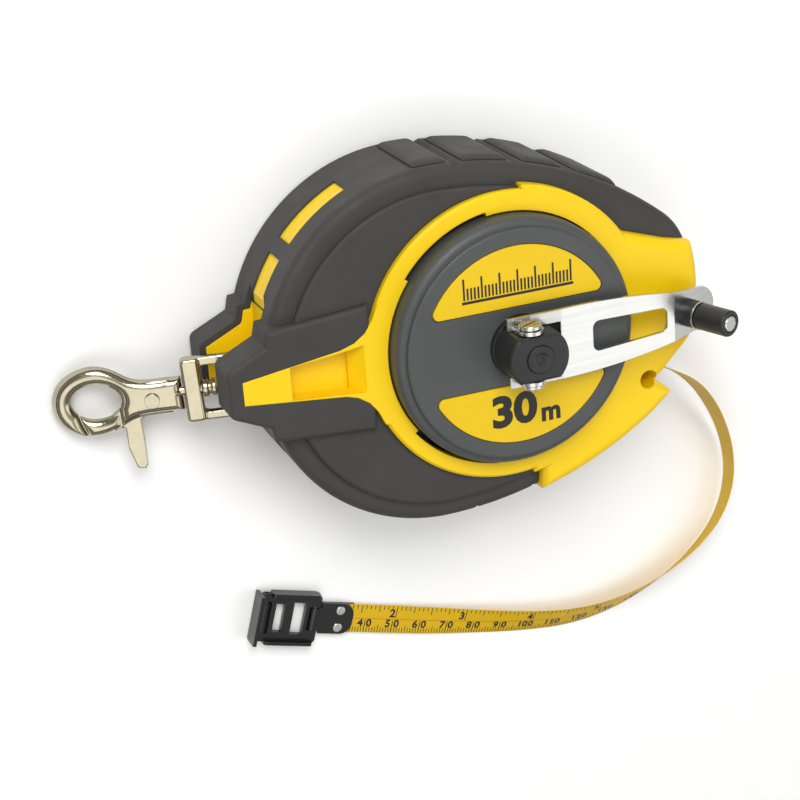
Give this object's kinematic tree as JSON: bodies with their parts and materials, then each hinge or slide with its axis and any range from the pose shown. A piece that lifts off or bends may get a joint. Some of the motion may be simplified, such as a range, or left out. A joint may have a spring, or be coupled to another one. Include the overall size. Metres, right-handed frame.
{
  "type": "surveyor tape reel",
  "caption": "Closed-case surveyor tape reel: overmoulded case, folding crank, printed blade with folding end hook, swivel snap hook.",
  "frame": {"origin": "on the crank axis, in the plane of the flat back that the case rests on", "axes": "+Z along the crank axis out of the front, +X towards the blade's mouth, -X towards the lanyard horn, +Y across the case"},
  "size_m": [0.2297, 0.1816, 0.0673],
  "materials": {
    "yellow_shell": "moulded, satin",
    "grey_rubber": "fine matt grain",
    "black_plastic": "satin",
    "disc_plastic": "fine grain",
    "label": "printed label",
    "black_steel": "black finish",
    "steel": "brushed and polished",
    "nickel": "nickel plate, satin",
    "blade": "yellow lacquer, printed",
    "spring_steel": "plain",
    "bronze": "sintered"
  },
  "bodies": {
    "case": {"front_shell": "yellow_shell", "front_overmould": "grey_rubber", "rear_shell": "yellow_shell", "rear_overmould": "grey_rubber", "back_plate": "black_plastic", "case_screws": "steel", "lanyard_post": "steel", "drum_axle": "steel", "axle_screw": "steel", "axle_clip": "spring_steel", "thrust_washer": "black_plastic", "roller_pin": "steel", "tape_lead": "blade", "tape_blade": "blade", "hook_shank": "black_steel", "shank_rivets": "steel"},
    "crank": {"crank_hub": "black_plastic", "hub_screws": "steel", "winding_disc": "disc_plastic", "upper_label": "label", "lower_label": "label", "drum_core": "black_plastic", "rear_flange": "black_plastic", "front_flange": "black_plastic", "axle_bush": "bronze", "tape_coil": "blade", "button_spring": "spring_steel", "pivot_screws": "steel"},
    "button": {"release_button": "black_plastic"},
    "handle": {"crank_arm": "steel", "knob_collar": "black_plastic", "knob_washer": "steel", "knob_rivet": "steel"},
    "knob": {"crank_knob": "black_plastic"},
    "roller": {"mouth_roller": "black_plastic"},
    "loop": {"lanyard_loop": "nickel"},
    "snap_hook": {"swivel_stem": "nickel", "snap_hook_body": "nickel", "trigger_rivet": "nickel"},
    "trigger": {"snap_trigger": "nickel"},
    "end_frame": {"end_frame": "black_steel", "frame_pin": "steel", "claw_pin": "steel"},
    "end_claw": {"end_claw": "black_steel"}
  },
  "joints": [
    {"name": "crank_spin", "type": "hinge", "parent": "case", "child": "crank", "pos_m": [0, 0, 0.0205], "axis": [0, 0, 1], "continuous": true},
    {"name": "button_press", "type": "slide", "parent": "crank", "child": "button", "axis": [0, 0, 1], "range_m": [-0.0015, 0], "stiffness_N_per_m": 300, "springref_m": 0.001, "deforming": ["button_spring"]},
    {"name": "crank_fold", "type": "hinge", "parent": "crank", "child": "handle", "pos_m": [-0.001, 0, 0.0585], "axis": [0, 1, 0], "range_deg": [-190, 0]},
    {"name": "knob_spin", "type": "hinge", "parent": "handle", "child": "knob", "pos_m": [0.0555, 0, 0.0501], "axis": [0.342, 0, 0.9397], "continuous": true},
    {"name": "roller_spin", "type": "hinge", "parent": "case", "child": "roller", "pos_m": [0.0509, -0.0189, 0.0205], "axis": [0, 0, 1], "continuous": true},
    {"name": "loop_swing", "type": "hinge", "parent": "case", "child": "loop", "pos_m": [-0.082, -0.001, 0.018], "axis": [0, 0, 1], "range_deg": [-30, 0]},
    {"name": "hook_swivel", "type": "hinge", "parent": "loop", "child": "snap_hook", "pos_m": [-0.09424, -0.00647, 0.01424], "axis": [0.9566, 0.0368, 0.289], "continuous": true},
    {"name": "trigger_open", "type": "hinge", "parent": "snap_hook", "child": "trigger", "pos_m": [-0.10434, -0.00806, 0.01118], "axis": [-0.2888, -0.0111, 0.9573], "range_deg": [-18, 0], "stiffness_Nm_per_rad": 0.03, "springref_deg": 8.59},
    {"name": "frame_fold", "type": "hinge", "parent": "case", "child": "end_frame", "pos_m": [-0.05834, -0.09897, 0.0019], "axis": [-0.2807, -0.9598, 0], "range_deg": [-90, 0]},
    {"name": "claw_fold", "type": "hinge", "parent": "end_frame", "child": "end_claw", "pos_m": [-0.07513, -0.09406, 0.0019], "axis": [-0.2807, -0.9598, 0], "range_deg": [-60, 0]}
  ]
}
